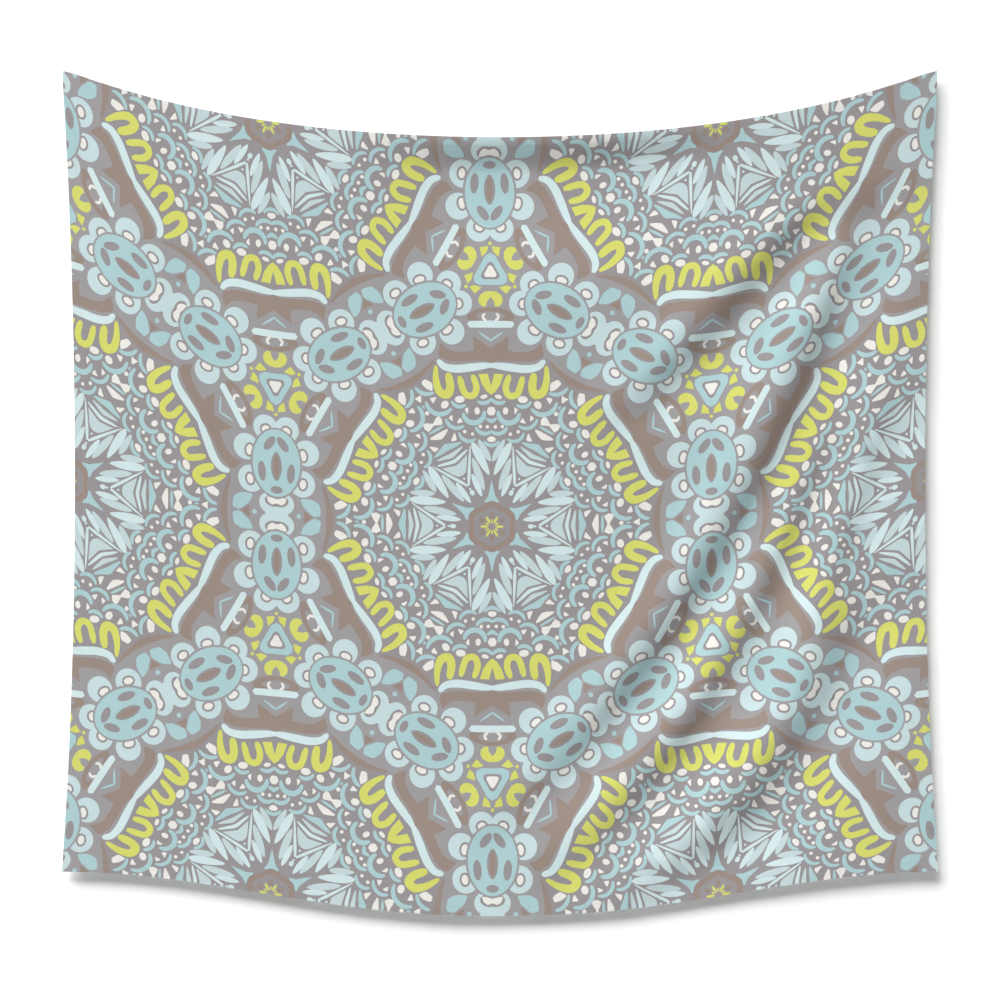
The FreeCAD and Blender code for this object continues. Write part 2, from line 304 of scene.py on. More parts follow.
def motifs():
    """Inks and outlines in one twelfth of a flower, bottom layer first.

    The flower's centre is at 0, 0, the middle between two flowers at 100, 0, and the middle of
    three flowers at 100, 57.7. Shapes that cross these lines carry on in their mirror images.
    """
    shapes = []

    def add(ink, *outlines):
        shapes.extend((ink, outline) for outline in outlines)

    add("outer_ground", [(73, -4), (76, 10), (79, 16), (72, 22), (62, 38), (60, 70), (110, 70), (110, -4)])

    # Heart of the flower
    add("lime", leaf((1.5, 0), (5.4, 0), 1.2), leaf((1.4, 0.8), (3.0, 1.7), 0.8))
    add("brown", oval((4.6, 2.7), 1.7, 1.2, 30), arc((4.2, 2.4), 5.4, -35, 95, 2.6))
    add("teal", [(18.4, 10.6), (13.0, 5.6), (11.6, 2.6), (10.9, 3.4), (10.6, 5.4), (9.9, 6.4), (8.6, 6.6),
                 (7.8, 8.6), (8.9, 9.2), (13.6, 9.5)])

    # Feathers of pale leaves on both sides of a tent with bars
    add("leaf", leaf((14.2, 3.0), (25.6, 4.2), 2.7), leaf((21.0, 10.9), (38.0, 11.6), 4.0, 0.2))
    add("leaf_shade", leaf((16.2, 5.4), (31.8, 8.2), 3.4), leaf((26.2, 14.6), (37.8, 14.8), 3.1, -0.1))
    add("leaf", oval((17.9, 0), 1.4, 1.05), oval((19.9, 0), 0.6, 0.5), oval((25.3, 0), 0.55, 0.5))
    for side in (1, -1):
        add("leaf", band([(22.0, side * 0.5), (29.0, side * 4.9), (36.8, side * 9.9)], [1.7, 1.2, 0.6], 2))
    add("leaf_shade", both_sides([(26.9, 0), (27.4, 2.0), (29.0, 3.4), (34.2, 6.8), (33.0, 2.8), (32.2, 0)]))
    add("leaf", band(both_sides([(36.0, 7.7), (35.0, 3.5), (34.3, 0)]), [0.9, 1.4, 1.7, 1.4, 0.9], 2))
    add("leaf_shade", band(both_sides([(38.3, 6.6), (37.7, 3.0), (37.2, 0)]), [0.7, 1.6, 2.2, 1.6, 0.7], 2))
    add("teal", band(both_sides([(40.3, 7.0), (40.8, 3.2), (41.6, 0)]), [0.9, 2.2, 3.4, 2.2, 0.9], 2))

    # Beads and teeth along the line between two flowers
    add("cream", pebble((42.0, 6.0), (45.9, 7.0), (42.9, 3.0)))
    add("cream", both_sides([(45.8, 0), (46.6, 2.2), (48.0, 4.7), (48.7, 4.6), (48.9, 2)]))
    add("teal", leaf((50.6, -4.2), (50.6, 4.2), 1.3))
    add("cream", both_sides([(52.9, 0), (51.4, 3.6), (53.4, 4.7), (55.6, 4.3), (55.5, 2.6), (53.8, 0)]))
    add("cream", oval((59.2, 0), 1.0, 0.95), pebble(*both_sides([(64.8, 0.3), (67.8, 1.8), (67.5, 0)])))
    add("teal", oval((62.4, 0), 0.95, 0.45))

    # Scales, each a crescent with beads or teeth under it
    add("teal", arc((43.0, 12.9), 4.6, 168, 292, 1.7), arc((35.9, 21.0), 4.4, 150, 268, 1.7))
    add("cream", oval((41.1, 13.7), 0.8, 0.75), oval((43.8, 11.1), 0.85, 0.8))
    add("cream", oval((34.8, 20.1), 1.3, 2.0, 20))
    add("teal", arc((42.3, 21.0), 4.5, 165, 282, 1.9))
    add("cream", oval((40.6, 21.3), 0.85, 0.8), oval((42.3, 18.6), 0.85, 0.8))
    add("teal", band([(41.6, 26.0), (41.9, 24.2), (44.0, 22.9)], [1.5, 2.1, 1.2]))
    add("cream", pebble((43.8, 26.8), (46.0, 29.0), (48.2, 26.6), (46.9, 24.6), (44.6, 24.6)))
    add("teal", arc((49.4, 19.2), 4.9, 112, 296, 2.5, 11))
    add("cream", oval((49.2, 20.9), 1.7, 1.25, 25), pebble((49.7, 16.3), (52.8, 18.4), (52.6, 16.1)))
    add("teal", arc((54.6, 27.2), 4.3, 150, 248, 1.8), arc((58.3, 17.0), 4.2, 168, 276, 1.8))
    add("cream", oval((53.2, 26.9), 0.95, 1.7, 15), oval((57.6, 16.5), 1.6, 2.3, 25))
    add("teal", arc((51.3, 11.2), 5.1, 168, 290, 1.8))
    add("cream", pebble((47.8, 12.7), (50.5, 12.5), (48.8, 9.7)))
    add("cream", pebble((50.3, 8.6), (53.3, 10.1), (52.7, 7.6)))
    add("teal", arc((61.6, 8.2), 6.4, 152, 292, 2.2, 11))
    add("cream", oval((58.8, 9.3), 1.6, 2.0, -20), pebble((61.5, 4.6), (63.6, 7.9), (64.6, 4.6)))
    add("teal", arc((72.2, 7.4), 6.2, 178, 268, 1.9))
    add("cream", pebble((66.6, 7.4), (70.0, 9.2), (73.2, 7.0), (72.4, 4.5), (69.0, 5.4)))

    # Row of five lime arches with a pale bar behind it
    add("lime", band([(69.6, 17.6), (64.6, 15.6), (62.3, 12.7), (65.0, 10.2), (70.4, 11.4), (75.6, 14.4)],
                     [3.4, 3.8, 4.0, 3.8, 3.0, 1.8]))
    add("lime", band([(63.6, 27.2), (58.6, 26.1), (56.1, 22.9), (58.8, 20.0), (66.0, 21.5)],
                     [2.7, 3.0, 3.0, 3.0, 2.9]))
    half_arch = [(61.4, 33.7), (63.3, 29.9), (58.4, 28.9), (54.6, 29.2), (52.4, 30.3), (52.3, 31.3),
                 (57.2, 32.6)]
    add("lime", half_arch, mirrored(half_arch))
    bar_route = [(77.2, 16.8), (73.8, 17.9), (70.4, 22.0), (67.6, 28.4), (65.4, 33.8), (63.8, 37.2),
                 (62.2, 41.0)]
    add("bar", band(bar_route, [2.4, 3.2, 3.6, 3.6, 3.0, 1.9, 3.0]))

    # Jagged brown flame behind the bar, and the thin crescents beside the flower
    add("brown", [(80.6, 18.6), (78.6, 18.0), (74.9, 21.0), (71.8, 26.2), (69.3, 31.4), (67.2, 35.4),
                  (64.6, 37.6), (68.0, 42.0), (70.6, 40.9), (79.4, 36.3), (76.4, 34.9), (73.6, 33.6),
                  (75.0, 29.6), (77.6, 25.2), (80.2, 23.0), (83.8, 21.9)])
    add("brown", band([(78.4, 14.4), (76.4, 8.8), (75.1, 0), (76.4, -8.8)], [0.8, 2.0, 3.4, 2.0]))

    # Chevron, short bar, almond and lime hook on the way to the middle of three flowers
    half_chevron = band([(79.6, 39.6), (73.8, 42.4)], [0.6, 1.2], 3)
    add("teal", half_chevron, mirrored(half_chevron))
    add("brown", leaf((77.2, 57.3), (88.2, 38.2), 9.0))
    add("outer_ground", leaf((79.6, 53.9), (86.4, 42.1), 4.4))
    half_bar = [(78.6, 45.4), (83.4, 37.0), (85.4, 36.8), (86.0, 38.4), (81.4, 47.0)]
    add("bar", half_bar, mirrored(half_bar))
    half_eye = arc((83.9, 46.0), 1.4, 200, 380, 1.3)
    add("cream", half_eye, mirrored(half_eye))
    add("lime", turned([(8.3, 0), (8.6, 2.6), (10.0, 4.7), (12.0, 5.6), (14.0, 5.2), (15.3, 3.7), (15.2, 1.9),
                        (14.0, 1.9), (12.6, 1.4), (11.0, 0)], (100, 57.735), 210))
    add("lime", [(95.3, 46.7), (99.2, 46.1), (98.6, 48.6), (96.2, 50.9)], oval((100, 44.9), 0.8, 0.8))

    # Shield in the middle of three flowers
    middle = (100, 57.735)
    for ink, reach in (("teal", 8.9), ("ground", 4.9), ("cream", 3.3)):
        add(ink, rounded_triangle(middle, reach))

    # Round medallion: petals first, then the body and its marks
    def petal(centre, radius, bead, bead_size, tilt=0):
        add("petal", oval(centre, radius, radius, count=20))
        add("ground", oval(bead, bead_size[0] + 0.95, bead_size[1] + 0.95, tilt))
        add("cream", oval(bead, bead_size[0], bead_size[1], tilt))

    petal((85.8, 28.9), 5.9, (87.4, 27.6), (1.5, 2.4), -8)
    petal((88.0, 14.8), 6.1, (87.6, 14.6), (1.5, 2.2), 8)
    petal((95.0, 38.6), 5.7, (95.1, 37.9), (1.9, 1.6), 25)
    add("petal", *(oval((96.8, y), 5.0, 4.9, count=20) for y in (4.8, -4.8)),
        both_sides([(94.6, 3.0), (103, 3.0)]))
    add("ground", oval((98.2, 5.8), 3.9, 2.6, -8))
    add("cream", pebble((95.2, 7.6), (97.6, 7.3), (100, 6.6), (103, 7.4), (103, 4.0), (100, 4.8), (97.8, 4.0),
                        (96.0, 5.2)))
    add("outer_ground", oval((100, 23.0), 12.2, 16.0, count=28))
    add("teal", oval((100, 23.0), 11.2, 15.2, count=28))
    add("ground", leaf((100, 14.8), (100, 28.2), 5.2), oval((93.2, 18.8), 1.9, 4.5, 5),
        oval((96.9, 31.7), 1.9, 3.9, -38), oval((100, 10.9), 2.9, 1.7))
    add("brown", leaf((100, 16.0), (100, 27.0), 2.8))

    # Pair of drops, small triangle and dot beside the medallions
    add("teal", pebble((79.2, 1.2), (79.8, 6.2), (83.6, 8.2), (89.0, 8.0), (87.4, 4.2), (82.6, 0.2)),
        oval((89.6, 0), 1.1, 1.1))
    add("brown", both_sides([(83.2, 0), (87.4, 2.8), (87.0, 0)]))
    return shapes


# ---- Inks and other materials ----

def linear(colour, share=1.0):
    """Linear colour of an 8-bit screen colour, dimmed to a share of its light."""
    return tuple(
        share * ((value / 255 / 12.92) if value <= 10 else ((value / 255 + 0.055) / 1.055) ** 2.4)
        for value in colour
    ) + (1.0,)


INKS = {
    "ground": (152, 147, 149),
    "outer_ground": (159, 156, 158),
    "brown": (154, 138, 128),
    "teal": (173, 206, 209),
    "petal": (200, 221, 223),
    "leaf": (210, 229, 231),
    "leaf_shade": (197, 215, 217),
    "bar": (212, 232, 233),
    "lime": (215, 218, 108),
    "cream": (236, 234, 228),
}
LIGHTNESS = 0.80         # the screen colours are as lit; the ink itself is a little darker
GHOST_STRENGTH = 0.3     # how much of the ink shows through on the back
GHOST_SIZE = 5.5         # outlines smaller than this, in print steps, don't show there
UNPRINTED = (226, 226, 223)
THREAD_PITCH = 0.0011
WAVE_SPACING = 0.314     # spacing of the wave texture's bands at a scale of one
WEAVE_DEPTH = 0.00022
GRAIN_SCALE = 330


def new_material(name):
    material = bpy.data.materials.new(name)
    material.use_nodes = True
    nodes = material.node_tree.nodes
    return material, nodes, material.node_tree.links, nodes["Principled BSDF"]


def set_inputs(node, values):
    for name, value in values.items():
        node.inputs[name].default_value = value


def ridges(nodes, direction, scale, distortion):
    wave = nodes.new("ShaderNodeTexWave")
    wave.bands_direction = direction
    set_inputs(wave, {"Scale": scale, "Distortion": distortion})
    return wave


def combined(nodes, links, operation, first, second):
    """What a Math node makes of two outputs."""
    node = nodes.new("ShaderNodeMath")
    node.operation = operation
    links.new(first, node.inputs[0])
    links.new(second, node.inputs[1])
    return node.outputs["Value"]


def add_bump(nodes, links, shader, height, strength, distance):
    bump = nodes.new("ShaderNodeBump")
    set_inputs(bump, {"Strength": strength, "Distance": distance})
    links.new(height, bump.inputs["Height"])
    links.new(bump.outputs["Normal"], shader.inputs["Normal"])


def add_roughness(nodes, links, shader, source, low, high):
    rough = nodes.new("ShaderNodeMapRange")
    set_inputs(rough, {"To Min": low, "To Max": high})
    links.new(source, rough.inputs["Value"])
    links.new(rough.outputs["Result"], shader.inputs["Roughness"])


def add_weave(nodes, links, shader, strength):
    """Crossed threads and soft unevenness, from the cloth's own flat coordinates in metres."""
    flat = nodes.new("ShaderNodeUVMap")
    flat.uv_map = "flat"
    waves = []
    for direction in ("X", "Y"):
        wave = ridges(nodes, direction, WAVE_SPACING / THREAD_PITCH, 0.6)
        wave.inputs["Detail"].default_value = 1.0
        links.new(flat.outputs["UV"], wave.inputs["Vector"])
        waves.append(wave.outputs["Fac"])
    grain = nodes.new("ShaderNodeTexNoise")
    set_inputs(grain, {"Scale": GRAIN_SCALE, "Detail": 3, "Roughness": 0.65})
    links.new(flat.outputs["UV"], grain.inputs["Vector"])
    weave = combined(nodes, links, "MULTIPLY", *waves)
    height = combined(nodes, links, "ADD", weave, grain.outputs["Fac"])
    add_bump(nodes, links, shader, height, strength, WEAVE_DEPTH)
    add_roughness(nodes, links, shader, grain.outputs["Fac"], 0.72, 0.9)


def cloth_material(name, colour, sheen, weave_strength):
    material, nodes, links, shader = new_material(name)
    set_inputs(shader, {"Base Color": colour, "Specular IOR Level": 0.25, "Sheen Weight": sheen})
    add_weave(nodes, links, shader, weave_strength)
    return material


def ink_material(name, colour):
    return cloth_material(f"ink_{name}", linear(colour, LIGHTNESS), 0.08, 0.55)


def ghost_material(name, colour):
    """The unprinted back, where the ink shows through faintly."""
    back = np.array(linear(UNPRINTED))
    shown = back + (np.array(linear(colour)) - back) * GHOST_STRENGTH
    return cloth_material(f"back_{name}", shown, 0.1, 0.6)


# ---- Mesh of the print ----

def outline_size(outline):
    xs, ys = zip(*outline)
    return min(max(xs) - min(xs), max(ys) - min(ys))


def counter_clockwise(outline):
    area = sum(a[0] * b[1] - b[0] * a[1] for a, b in zip(outline, outline[1:] + outline[:1]))
    return outline if area > 0 else outline[::-1]


def short_sided(outline, longest):
    """The same outline with its long sides divided, so that they can follow the folds."""
    points = []
    for start, end in zip(outline, outline[1:] + outline[:1]):
        parts = math.ceil(math.dist(start, end) / longest)
        for part in range(parts):
            share = part / parts
            points.append((start[0] + (end[0] - start[0]) * share, start[1] + (end[1] - start[1]) * share))
    return points


def print_wedge(shapes, mesh_step):
    """Triangles of one twelfth of a flower, with an ink number for each."""
    height = 100 / math.sqrt(3)
    base = [(float(x), 0.0) for x in np.arange(0, 100, mesh_step)]
    side = [(100.0, float(y)) for y in np.arange(0, height, mesh_step)]
    slope = [(float(x), float(x) / math.sqrt(3)) for x in np.arange(100, mesh_step, -mesh_step)]
    corners = base + side + slope
    ink_names = list(INKS)
    outlines = [corners]
    outlines += [short_sided(counter_clockwise(outline), LONGEST_SIDE) for _, outline in shapes]
    inks = [ink_names.index("ground")] + [ink_names.index(ink) for ink, _ in shapes]
    coords, faces = [], []
    for outline in outlines:
        faces.append(list(range(len(coords), len(coords) + len(outline))))
        coords += outline
    taken = np.array(coords)
    row_step = mesh_step * math.sqrt(0.75)
    for row in range(1, int(height / row_step) + 1):
        y = row * row_step
        x = y * math.sqrt(3) + mesh_step * (0.5 + 0.5 * (row % 2))
        while x < 100 - mesh_step / 2:
            if np.hypot(taken[:, 0] - x, taken[:, 1] - y).min() > mesh_step * 0.45:
                coords.append((x, y))
            x += mesh_step
    result = geometry.delaunay_2d_cdt([Vector(c) for c in coords], [], faces, 0, 1e-4, True)
    triangles, triangle_inks = [], []
    for face, origins in zip(result[2], result[5]):
        if 0 in origins:
            triangles.append(face)
            triangle_inks.append(inks[max(origins)])
    return np.array([tuple(v) for v in result[0]]), np.array(triangles), np.array(triangle_inks)


PRINT_MARGIN = 0.03      # printed cloth beyond the finished edge: the hem's turning and a little more


def print_sheet(shapes, mesh_step):
    """The whole print in flat metres, wider than the cloth by a hem on every side."""
    points, triangles, inks = print_wedge(shapes, mesh_step)
    half_size = np.array([PRINT_HALF_WIDTH + PRINT_MARGIN, PRINT_HALF_HEIGHT + PRINT_MARGIN])
    sheets, sheet_faces, sheet_inks, total = [], [], [], 0
    for row in range(-3, 4):
        for column in range(-4, 5):
            centre = np.array([(2 * column + row % 2) * PRINT_UNIT, row * math.sqrt(3) * PRINT_UNIT])
            for sixth in range(6):
                for side in (1, -1):
                    angle = sixth * PI / 3
                    turn = np.array([[math.cos(angle), math.sin(angle)], [-math.sin(angle), math.cos(angle)]])
                    placed = (points * (PRINT_STEP, side * PRINT_STEP)) @ turn + centre
                    low, high = placed.min(axis=0), placed.max(axis=0)
                    if (low > half_size).any() or (high < -half_size).any():
                        continue
                    sheets.append(placed)
                    sheet_faces.append((triangles if side > 0 else triangles[:, ::-1]) + total)
                    sheet_inks.append(inks)
                    total += len(placed)
    return np.concatenate(sheets), np.concatenate(sheet_faces), np.concatenate(sheet_inks)


def to_cloth(flat):
    """Cloth coordinates, across and down, of flat print points."""
    share = -flat[:, 1] / PRINT_HALF_HEIGHT
    down = 0.5 + share * (1 - PRINT_SLACK * (1 - share ** 2)) / 2
    shift = PRINT_SHIFT + TOP_SHIFT * (1 - down) ** 2
    x = flat[:, 0] - shift
    across = 2 * x / (PRINT_HALF_WIDTH + np.sqrt(PRINT_HALF_WIDTH ** 2 - 4 * shift * x))
    return np.stack([across, down], axis=-1)


HEM_ACROSS = HEM_WIDTH / HALF_SPAN
HEM_DOWN = HEM_WIDTH / CENTRE_DROP
ROLL_ACROSS = HEM_ROLL / HALF_SPAN
ROLL_DOWN = HEM_ROLL / CENTRE_DROP
SPARE = 0.02             # print kept beyond the hems until the cut, in cloth coordinates


def read(items, name, kind=int, width=1):
    values = np.empty(len(items) * width, dtype=kind)
    items.foreach_get(name, values)
    return values


def printed_cloth(shapes, mesh_step):
    """The print as one flat mesh over cloth and hems, cut along every edge and fold."""
    flat, faces, inks = print_sheet(shapes, mesh_step)
    placed = to_cloth(flat)
    across_limit, low_limit, high_limit = 1 + HEM_ACROSS, -HEM_DOWN, 1 + HEM_DOWN
    near = (np.abs(placed[:, 0]) < across_limit + SPARE) & (placed[:, 1] > low_limit - SPARE)
    near &= placed[:, 1] < high_limit + SPARE
    keep = near[faces].all(axis=1)
    mesh = bpy.data.meshes.new("print")
    mesh.from_pydata(np.column_stack([placed, np.zeros(len(placed))]).tolist(), [], faces[keep].tolist())
    mesh.polygons.foreach_set("material_index", inks[keep])
    work = bmesh.new()
    work.from_mesh(mesh)
    bmesh.ops.remove_doubles(work, verts=work.verts, dist=2e-5)
    cuts = []
    for sign in (-1, 1):
        for place in (1 - HEM_ACROSS, 1 - HEM_ACROSS + ROLL_ACROSS, 1 - ROLL_ACROSS, 1, 1 + ROLL_ACROSS,
                      across_limit - ROLL_ACROSS):
            cuts.append(((sign * place, 0, 0), (1, 0, 0), False))
        cuts.append(((sign * across_limit, 0, 0), (sign, 0, 0), True))
    for edge, outward in ((0, -1), (1, 1)):
        for place in (0, ROLL_DOWN, HEM_DOWN - ROLL_DOWN):
            cuts.append(((0, edge + outward * place, 0), (0, 1, 0), False))
        cuts.append(((0, edge + outward * HEM_DOWN, 0), (0, outward, 0), True))
    for point, normal, clear in cuts:
        everything = work.verts[:] + work.edges[:] + work.faces[:]
        bmesh.ops.bisect_plane(work, geom=everything, dist=1e-7, plane_co=point, plane_no=normal,
                               clear_outer=clear)
    bmesh.ops.triangulate(work, faces=[face for face in work.faces if len(face.verts) > 3])
    work.to_mesh(mesh)
    work.free()
    cloth = read(mesh.vertices, "co", float, 3).reshape(-1, 3)[:, :2]
    triangles = read(mesh.polygons, "vertices", width=3).reshape(-1, 3)
    slots = read(mesh.polygons, "material_index")
    bpy.data.meshes.remove(mesh)
    for axis, places in ((0, (-1, 1)), (1, (0, 1))):
        for place in places:
            cloth[np.abs(cloth[:, axis] - place) < 1e-6, axis] = place
    return cloth, triangles, slots


# ---- Objects ----

def add_object(name, data):
    obj = bpy.data.objects.new(name, data)
    bpy.context.scene.collection.objects.link(obj)
    return obj


def make_object(name, points, faces, materials, slots=None, flat=None):
    """Smooth mesh object. flat holds a cloth coordinate in metres for every point."""
    mesh = bpy.data.meshes.new(name)
    mesh.from_pydata(np.asarray(points).tolist(), [], [list(face) for face in faces])
    for material in materials:
        mesh.materials.append(material)
    if slots is not None:
        mesh.polygons.foreach_set("material_index", np.asarray(slots))
    if flat is not None:
        layer = mesh.uv_layers.new(name="flat")
        layer.data.foreach_set("uv", np.asarray(flat)[read(mesh.loops, "vertex_index")].ravel())
    mesh.polygons.foreach_set("use_smooth", np.ones(len(mesh.polygons), dtype=bool))
    mesh.validate()
    mesh.update()
    return add_object(name, mesh)


def flat_metres(cloth):
    return np.column_stack([cloth[:, 0] * HALF_SPAN, -cloth[:, 1] * CENTRE_DROP])


def take(cloth, faces, slots, wanted):
    """The chosen faces with only the points that they use."""
    used, index = np.unique(faces[wanted], return_inverse=True)
    return cloth[used], index.reshape(-1, 3), slots[wanted]


def rim_order(cloth, faces):
    """The loop of points round the outline, and how far round each one lies, from 0 to 4."""
    ends = np.concatenate([faces[:, [0, 1]], faces[:, [1, 2]], faces[:, [2, 0]]])
    _, index, count = np.unique(np.sort(ends, axis=1), axis=0, return_index=True, return_counts=True)
    members = np.unique(ends[index[count == 1]])
    across, down = cloth[members, 0], cloth[members, 1]
    top, right, bottom = down == 0, across == 1, down == 1
    share = (across + 1) / 2
    place = np.where(top, share, np.where(right, 1 + down, np.where(bottom, 3 - share, 4 - down)))
    order = np.argsort(place)
    return members[order], place[order]


def printed_panel(front, back, materials):
    """Closed thin sheet: the print in front, its ghost behind and a rim between them."""
    cloth, faces, slots = front
    back_cloth, back_faces, back_slots = back
    shift = len(cloth)
    loop, places = rim_order(cloth, faces)
    back_loop, back_places = rim_order(back_cloth, back_faces)
    rim = []
    here, there = 0, 0
    while here < len(loop) or there < len(back_loop):
        a, b = loop[here % len(loop)], back_loop[there % len(back_loop)] + shift
        next_place = places[here + 1] if here + 1 < len(loop) else 4.0
        next_back = back_places[there + 1] if there + 1 < len(back_loop) else 4.0
        if there == len(back_loop) or (here < len(loop) and next_place <= next_back):
            here += 1
            rim.append((a, loop[here % len(loop)], b))
        else:
            there += 1
            rim.append((a, back_loop[there % len(back_loop)] + shift, b))
    everything = np.concatenate([cloth, back_cloth])
    sides = np.concatenate([np.full(len(cloth), -1.0), np.full(len(back_cloth), 1.0)])
    points = on_cloth(everything[:, 0], everything[:, 1], sides * CLOTH_THICKNESS / 2)
    all_faces = np.concatenate([faces, back_faces[:, ::-1] + shift, np.array(rim)])
    ghosts = back_slots + len(materials) // 2
    all_slots = np.concatenate([slots, ghosts, np.full(len(rim), len(materials) // 2)])
    panel = make_object("printed_cloth", points, all_faces, materials, all_slots, flat_metres(everything))
    normals = cloth_normals(everything[:, 0], everything[:, 1]) * sides[:, None]
    panel.data.normals_split_custom_set_from_vertices(normals.tolist())
    return panel


def hem_strip(name, cloth, faces, slots, materials):
    """Turned edge, seen on the back: the print carries on round the fold."""
    across, down = cloth[:, 0].copy(), cloth[:, 1].copy()
    level = (down < 0).any() or (down > 1).any()
    if level:
        beyond = np.maximum(-down, down - 1) * CENTRE_DROP
        down = np.where(down < 0.5, np.abs(down), 2 - down)
    else:
        beyond = (np.abs(across) - 1) * HALF_SPAN
        across = np.sign(across) * (2 - np.abs(across))
    beyond = np.clip(beyond, 0, HEM_WIDTH)
    on_back = CLOTH_THICKNESS / 2
    lift = np.interp(beyond, [0, HEM_ROLL, HEM_WIDTH - HEM_ROLL, HEM_WIDTH], [0, 1, 1, 0])
    height = np.full(len(cloth), HEM_THICKNESS)
    if level:  # over the ends of the side hems, and closed at its own ends
        from_end = (1 - np.abs(across)) * HALF_SPAN
        height = np.interp(
            from_end,
            [0, HEM_ROLL, HEM_WIDTH - HEM_ROLL, HEM_WIDTH],
            [0, 2 * HEM_THICKNESS, 2 * HEM_THICKNESS, HEM_THICKNESS],
        )
    offset = np.where(beyond < 1e-7, -on_back, on_back + lift * height)
    points = on_cloth(across, down, offset)
    return make_object(name, points, faces, materials, slots, flat_metres(cloth))


def inside_panel(cloth, faces):
    centres = cloth[faces].mean(axis=1)
    return (np.abs(centres[:, 0]) < 1) & (centres[:, 1] > 0) & (centres[:, 1] < 1)


SHAPES = motifs()
LARGE_SHAPES = [shape for shape in SHAPES if outline_size(shape[1]) > GHOST_SIZE]
INK_MATERIALS = [ink_material(name, colour) for name, colour in INKS.items()]
GHOST_MATERIALS = [ghost_material(name, colour) for name, colour in INKS.items()]
cloth_all, faces_all, slots_all = printed_cloth(SHAPES, MESH_STEP)
ghost_all, ghost_faces, ghost_slots = printed_cloth(LARGE_SHAPES, BACK_MESH_STEP)
panel = printed_panel(
    take(cloth_all, faces_all, slots_all, inside_panel(cloth_all, faces_all)),
    take(ghost_all, ghost_faces, ghost_slots, inside_panel(ghost_all, ghost_faces)),
    INK_MATERIALS + GHOST_MATERIALS,
)
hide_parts("printed_panel")
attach(panel, "cloth")

centres = cloth_all[faces_all].mean(axis=1)
in_width = np.abs(centres[:, 0]) < 1
in_height = (centres[:, 1] > 0) & (centres[:, 1] < 1)
hem_parts = {
    "top": in_width & (centres[:, 1] < 0),
    "bottom": in_width & (centres[:, 1] > 1),
    "left": in_height & (centres[:, 0] < -1),
    "right": in_height & (centres[:, 0] > 1),
}
for edge, wanted in hem_parts.items():
    hem = hem_strip(f"turned_hem_{edge}", *take(cloth_all, faces_all, slots_all, wanted), INK_MATERIALS)
    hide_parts(f"hem_{edge}")
    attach(hem, "cloth")


# ---- Thread ----

def across_route(route, up):
    """Two unit vectors across a route at every point of it."""
    along = unit(np.gradient(route, axis=0))
    first = unit(np.cross(along, np.asarray(up, dtype=float)))
    return first, np.cross(along, first)


def tube(route, radii, sides=6, up=(0.0, 0.0, 1.0)):
    """Points and faces of a closed tube along a route, with a radius at every point of it."""
    first, second = across_route(route, up)
    points = [route[0]]
    for place, radius in zip(range(1, len(route) - 1), radii[1:-1]):
        for side in range(sides):
            angle = 2 * PI * side / sides
            outward = math.cos(angle) * first[place] + math.sin(angle) * second[place]
            points.append(route[place] + radius * outward)
    points.append(route[-1])
    last = len(points) - 1
    faces = []
    for side in range(sides):
        after = (side + 1) % sides
        faces.append((0, 1 + after, 1 + side))
        faces.append((last, last - sides + side, last - sides + after))
        for ring in range(len(route) - 3):
            start = 1 + ring * sides
            faces.append((start + side, start + after, start + sides + after, start + sides + side))
    return points, faces


def joined(parts):
    """One list of points and faces from several."""
    points, faces = [], []
    for part_points, part_faces in parts:
        faces += [[index + len(points) for index in face] for face in part_faces]
        points += list(part_points)
    return points, faces


def stitch_row(edge):
    """Lock stitches along one edge: short threads that dip into the cloth, in front and behind."""
    inset_across, inset_down = STITCH_INSET / HALF_SPAN, STITCH_INSET / CENTRE_DROP
    length = 2 * HALF_SPAN if edge in ("top", "bottom") else CENTRE_DROP
    count = int(length / STITCH_PITCH)
    parts = []
    for level, shift in ((-CLOTH_THICKNESS / 2, 0.0), (CLOTH_THICKNESS / 2 + HEM_THICKNESS, 0.5)):
        centres = (np.arange(2, count - 3) + 0.5 + shift) / count
        spots = np.linspace(-0.5, 0.5, 5)[None, :] * STITCH_LENGTH / length + centres[:, None]
        rise = np.sign(level) * STITCH_RADIUS * np.array([-1.0, 0.1, 0.35, 0.1, -1.0])
        if edge in ("top", "bottom"):
            down = inset_down if edge == "top" else 1 - inset_down
            across, down = 2 * spots - 1, np.full(spots.shape, down)
        else:
            sign = -1 if edge == "left" else 1
            across, down = np.full(spots.shape, sign * (1 - inset_across)), spots
        routes = on_cloth(across, down, level + np.broadcast_to(rise, spots.shape))
        radii = STITCH_RADIUS * STITCH_TAPER
        up = (0.0, 0.0, 1.0) if edge in ("top", "bottom") else (1.0, 0.0, 0.0)
        parts += [tube(route, radii, 5, up) for route in routes]
    return joined(parts)


def thread_material(name, colour, scale):
    """Spun thread: fine slanting ridges, a soft shine, and painted shade that darkens the colour in the
    grooves between fibres.
    """
    material, nodes, links, shader = new_material(name)
    place = nodes.new("ShaderNodeTexCoord")
    twist = ridges(nodes, "DIAGONAL", scale, 0.8)
    links.new(place.outputs["Object"], twist.inputs["Vector"])
    # Painted shade: the colour drops to 0.8 of itself where the twist's ridges are low, in the grooves
    # between fibres.
    groove_shade = nodes.new("ShaderNodeMix")
    groove_shade.data_type = "RGBA"
    groove_shade.inputs[6].default_value = linear(colour, 0.8)
    groove_shade.inputs[7].default_value = linear(colour)
    links.new(twist.outputs["Fac"], groove_shade.inputs[0])
    links.new(groove_shade.outputs[2], shader.inputs["Base Color"])
    add_bump(nodes, links, shader, twist.outputs["Fac"], 0.6, 0.0002)
    set_inputs(shader, {"Roughness": 0.55, "Sheen Weight": 0.25})
    return material


THREAD = thread_material("polyester_thread", (168, 165, 165), 900)
CORD = thread_material("twisted_cord", (214, 211, 204), 700)
for edge in hem_parts:
    points, faces = stitch_row(edge)
    row = make_object(f"stitches_{edge}", points, faces, [THREAD])
    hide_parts(f"stitch_{edge}")
    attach(row, "cloth")


# ---- Corner loops and tacks ----

